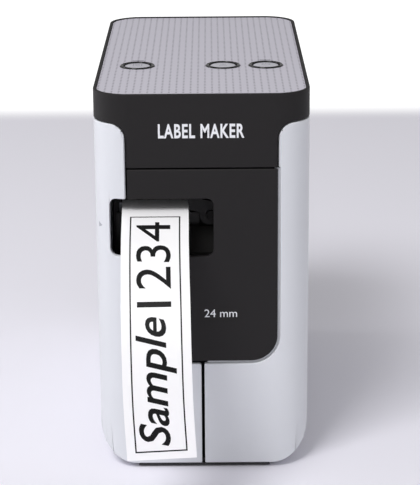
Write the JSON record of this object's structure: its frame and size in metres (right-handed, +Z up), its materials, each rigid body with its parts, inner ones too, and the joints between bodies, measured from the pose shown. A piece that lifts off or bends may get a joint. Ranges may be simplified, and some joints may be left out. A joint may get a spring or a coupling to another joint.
{
  "type": "label maker",
  "caption": "Upright desktop label maker with a side cover over its tape cassette, keys on top and a tape slot in front.",
  "frame": {"origin": "on the table, under the middle of the case's footprint (the hanging label is left out of it)", "axes": "+X to the right of someone facing the tape slot, +Y from the slot to the rear panel, +Z up"},
  "size_m": [0.078, 0.205, 0.143],
  "materials": {
    "black_plastic": "matte, fine texture",
    "gloss_black_plastic": "gloss",
    "white_plastic": "satin",
    "silver_plate": "satin silver with a fine woven dot pattern",
    "key_plastic": "satin pearl",
    "grey_plastic": "matte",
    "rubber": "matte",
    "steel": "satin",
    "spring_steel": "bright",
    "aluminium": "satin",
    "gear_plastic": "smooth",
    "circuit_board": "solder mask",
    "tape_film": "laminated film",
    "cell_wrap": "printed foil",
    "lens": "milky",
    "cassette_plastic": "satin",
    "ceramic_head": "glazed"
  },
  "bodies": {
    "housing": {"base_tray": "black_plastic", "right_shell": "white_plastic", "hinge_rod": "steel", "front_panel": "black_plastic", "rear_panel": "black_plastic", "top_cap": "black_plastic", "top_plate": "silver_plate", "editor_bezel": "gloss_black_plastic", "feed_bezel": "gloss_black_plastic", "power_bezel": "gloss_black_plastic", "editor_lamp": "lens", "power_lamp": "lens", "key_board": "circuit_board", "foot_front_left": "rubber", "foot_front_right": "rubber", "foot_rear_left": "rubber", "foot_rear_right": "rubber", "battery_cell_1": "cell_wrap", "battery_cell_2": "cell_wrap", "battery_cell_3": "cell_wrap", "battery_cell_4": "cell_wrap", "battery_cell_5": "cell_wrap", "battery_cell_6": "cell_wrap", "battery_contacts_front": "spring_steel", "battery_contacts_rear": "spring_steel", "chassis_plate": "grey_plastic", "chassis_screw_front": "steel", "chassis_screw_rear": "steel", "motor_bracket": "steel", "feed_motor": "steel", "holder_spring": "spring_steel", "print_head": "ceramic_head", "heat_sink": "aluminium", "cutter_frame": "steel", "fixed_blade": "spring_steel", "cutter_motor": "steel", "exit_guide": "black_plastic", "cassette_case": "cassette_plastic", "cassette_lid": "cassette_plastic", "cassette_tape": "tape_film", "label_strip": "tape_film", "main_board": "circuit_board", "usb_socket": "spring_steel", "power_jack": "gloss_black_plastic"},
    "side_cover": {"cassette_cover": "white_plastic"},
    "editor_button": {"editor_button": "key_plastic"},
    "feed_button": {"feed_button": "key_plastic"},
    "power_button": {"power_button": "key_plastic"},
    "battery_door": {"battery_cover": "black_plastic"},
    "roller_yoke": {"roller_holder": "grey_plastic"},
    "platen": {"platen_shaft": "steel", "platen_roller": "rubber", "platen_gear": "gear_plastic"},
    "idler": {"idler_gear": "gear_plastic"},
    "take_up": {"take_up_spindle": "gear_plastic", "ribbon_spool": "rubber"},
    "feed_motor_pinion": {"feed_pinion": "gear_plastic"},
    "tape_roll": {"tape_spool": "tape_film"},
    "cutter_blade": {"moving_blade": "spring_steel"},
    "cutter_motor_pinion": {"cutter_pinion": "gear_plastic"}
  },
  "joints": [
    {"name": "side_cover_hinge", "type": "hinge", "parent": "housing", "child": "side_cover", "pos_m": [-0.029, 0.0734, 0.07], "axis": [0, 0, -1], "range_deg": [0, 95]},
    {"name": "battery_cover_hinge", "type": "hinge", "parent": "housing", "child": "battery_door", "pos_m": [0, 0.0511, 0.0015], "axis": [1, 0, 0], "range_deg": [0, 35]},
    {"name": "roller_release", "type": "hinge", "parent": "housing", "child": "roller_yoke", "pos_m": [-0.017, -0.012, 0.112], "axis": [-1, 0, 0], "range_deg": [0, 7], "stiffness_Nm_per_rad": 0.3, "springref_deg": -17.19, "deforming": ["holder_spring"]},
    {"name": "platen_spin", "type": "hinge", "parent": "roller_yoke", "child": "platen", "pos_m": [-0.017, -0.039, 0.1015], "axis": [1, 0, 0], "continuous": true},
    {"name": "idler_spin", "type": "hinge", "parent": "housing", "child": "idler", "pos_m": [0.003, -0.02499, 0.08389], "axis": [1, 0, 0], "continuous": true},
    {"name": "take_up_spin", "type": "hinge", "parent": "housing", "child": "take_up", "pos_m": [-0.01, -0.032, 0.06], "axis": [1, 0, 0], "continuous": true},
    {"name": "feed_motor_spin", "type": "hinge", "parent": "housing", "child": "feed_motor_pinion", "pos_m": [0.003, -0.00836, 0.07784], "axis": [1, 0, 0], "continuous": true},
    {"name": "tape_roll_spin", "type": "hinge", "parent": "housing", "child": "tape_roll", "pos_m": [-0.0172, 0.0055, 0.0675], "axis": [1, 0, 0], "continuous": true},
    {"name": "cutter_swing", "type": "hinge", "parent": "housing", "child": "cutter_blade", "pos_m": [0.003, -0.0627, 0.095], "axis": [0, -1, 0], "range_deg": [0, 15]},
    {"name": "cutter_motor_spin", "type": "hinge", "parent": "housing", "child": "cutter_motor_pinion", "pos_m": [0.0239, -0.0627, 0.095], "axis": [0, -1, 0], "range_deg": [-51, 0]},
    {"name": "editor_button_press", "type": "slide", "parent": "housing", "child": "editor_button", "axis": [0, 0, -1], "range_m": [0, 0.0006], "stiffness_N_per_m": 300, "springref_m": -0.002},
    {"name": "feed_button_press", "type": "slide", "parent": "housing", "child": "feed_button", "axis": [0, 0, -1], "range_m": [0, 0.0006], "stiffness_N_per_m": 300, "springref_m": -0.002},
    {"name": "power_button_press", "type": "slide", "parent": "housing", "child": "power_button", "axis": [0, 0, -1], "range_m": [0, 0.0006], "stiffness_N_per_m": 300, "springref_m": -0.002}
  ],
  "couplings": [
    {"joint": "idler_spin", "follows": "platen_spin", "ratio": -0.75},
    {"joint": "take_up_spin", "follows": "platen_spin", "ratio": 0.8},
    {"joint": "feed_motor_spin", "follows": "platen_spin", "ratio": 2},
    {"joint": "tape_roll_spin", "follows": "platen_spin", "ratio": -0.25},
    {"joint": "cutter_motor_spin", "follows": "cutter_swing", "ratio": -3.3333}
  ]
}
